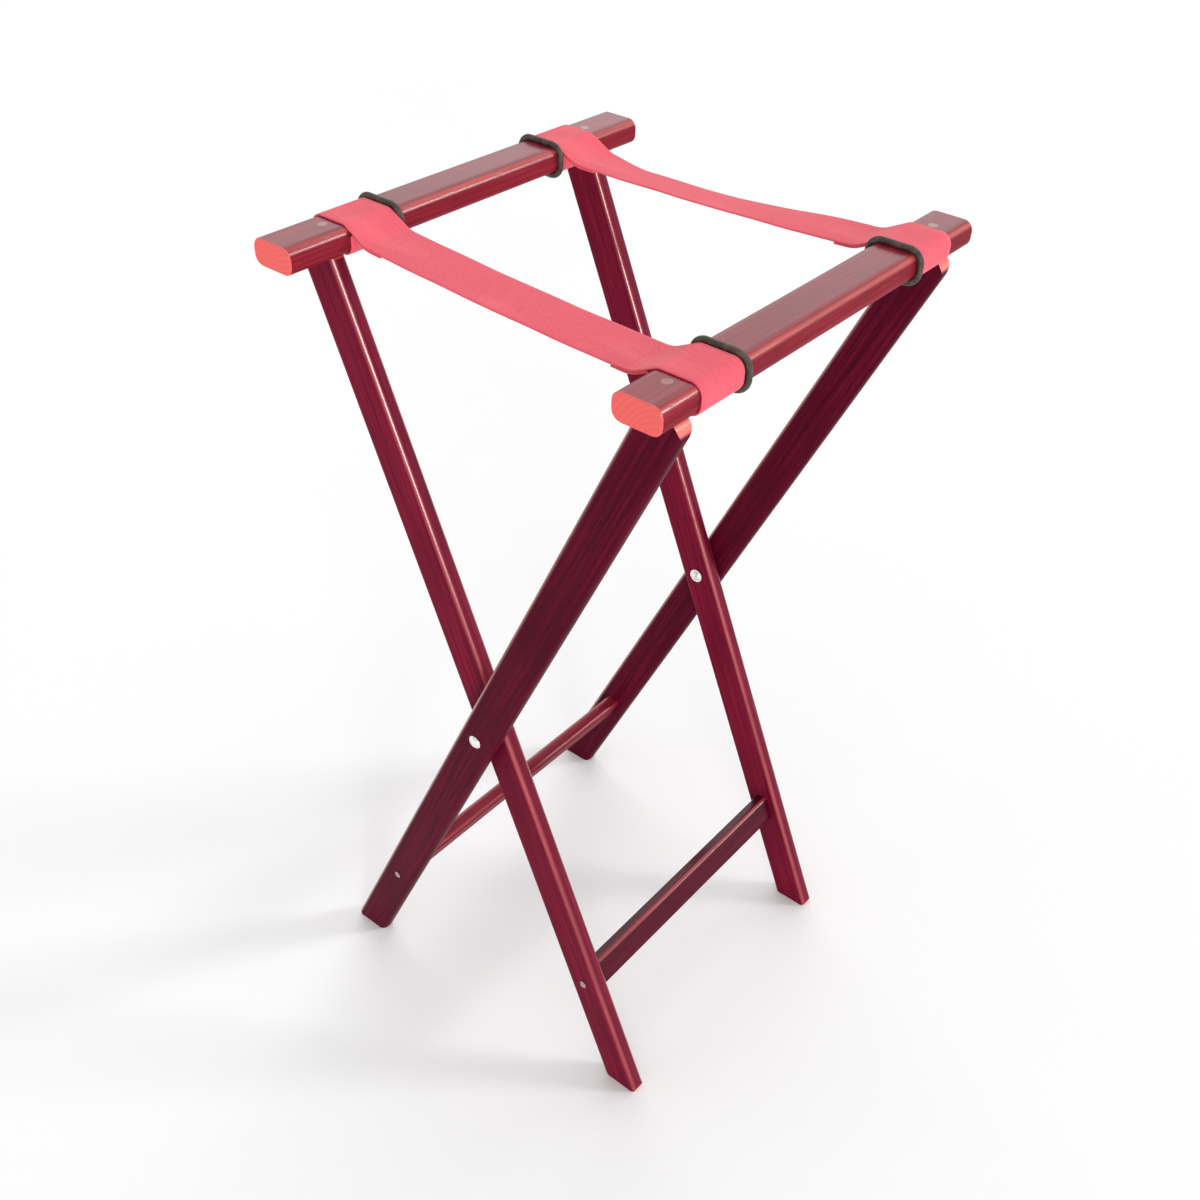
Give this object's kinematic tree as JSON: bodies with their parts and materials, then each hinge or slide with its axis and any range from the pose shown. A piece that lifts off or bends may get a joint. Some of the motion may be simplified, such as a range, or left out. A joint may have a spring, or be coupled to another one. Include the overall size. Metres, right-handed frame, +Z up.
{
  "type": "folding luggage rack",
  "caption": "Tall folding stand: two wooden frames crossing at a riveted pivot, with webbing straps between level top rails held in place by rubber rings.",
  "frame": {"origin": "on the floor, midway between the feet along X and Y, directly below the pivot line", "axes": "+Z up; +Y along the rails and the pivot line, towards the back; +X from the inner frame's rail to the outer frame's rail"},
  "size_m": [0.3932, 0.412, 0.7921],
  "materials": {
    "rail_wood": "satin lacquer over red mahogany stain",
    "outer_leg_wood": "satin lacquer over red mahogany stain",
    "inner_leg_wood": "satin lacquer over red mahogany stain",
    "stretcher_wood": "satin lacquer over red mahogany stain",
    "plug_wood": "satin lacquer over red mahogany stain, end grain",
    "strap_webbing": "plain woven webbing",
    "ring_rubber": "matte",
    "rivet_steel": "bright nickel plate",
    "spacer_plastic": "natural nylon",
    "screw_steel": "zinc plate"
  },
  "bodies": {
    "outer_frame": {"outer_rail": "rail_wood", "outer_leg_front": "outer_leg_wood", "outer_leg_back": "outer_leg_wood", "outer_stretcher": "stretcher_wood", "outer_rail_screws": "screw_steel", "outer_rail_plugs": "plug_wood", "outer_stretcher_screws": "screw_steel", "outer_ring_front": "ring_rubber", "outer_ring_back": "ring_rubber", "front_strap_outer_loop": "strap_webbing", "front_strap_outer_span": "strap_webbing", "back_strap_outer_loop": "strap_webbing", "back_strap_outer_span": "strap_webbing", "pivot_rivet_front": "rivet_steel", "pivot_spacer_front": "spacer_plastic", "rivet_washer_front": "rivet_steel", "pivot_rivet_back": "rivet_steel", "pivot_spacer_back": "spacer_plastic", "rivet_washer_back": "rivet_steel"},
    "inner_frame": {"inner_rail": "rail_wood", "inner_leg_front": "inner_leg_wood", "inner_leg_back": "inner_leg_wood", "inner_stretcher": "stretcher_wood", "inner_rail_screws": "screw_steel", "inner_rail_plugs": "plug_wood", "inner_stretcher_screws": "screw_steel", "inner_ring_front": "ring_rubber", "inner_ring_back": "ring_rubber", "front_strap_inner_loop": "strap_webbing", "front_strap_inner_span": "strap_webbing", "back_strap_inner_loop": "strap_webbing", "back_strap_inner_span": "strap_webbing"},
    "outer_strap_middle": {"front_strap_outer_middle": "strap_webbing", "back_strap_outer_middle": "strap_webbing"},
    "inner_strap_middle": {"front_strap_inner_middle": "strap_webbing", "back_strap_inner_middle": "strap_webbing"}
  },
  "joints": [
    {"name": "fold", "type": "hinge", "parent": "outer_frame", "child": "inner_frame", "pos_m": [0, 0, 0.3745], "axis": [0, 1, 0], "range_deg": [0, 39], "deforming": ["front_strap_outer_span", "front_strap_outer_middle", "back_strap_outer_span", "back_strap_outer_middle", "front_strap_inner_span", "front_strap_inner_middle", "back_strap_inner_span", "back_strap_inner_middle"]},
    {"name": "outer_strap_sag", "type": "hinge", "parent": "outer_frame", "child": "outer_strap_middle", "pos_m": [-0.108, 0, 0.57478], "axis": [0, 1, 0], "range_deg": [0, 39]},
    {"name": "inner_strap_sag", "type": "hinge", "parent": "inner_frame", "child": "inner_strap_middle", "pos_m": [0.108, 0, 0.57478], "axis": [0, 1, 0], "range_deg": [-39, 0]}
  ],
  "couplings": [
    {"joint": "outer_strap_sag", "follows": "fold", "ratio": 1},
    {"joint": "inner_strap_sag", "follows": "fold", "ratio": -1}
  ]
}
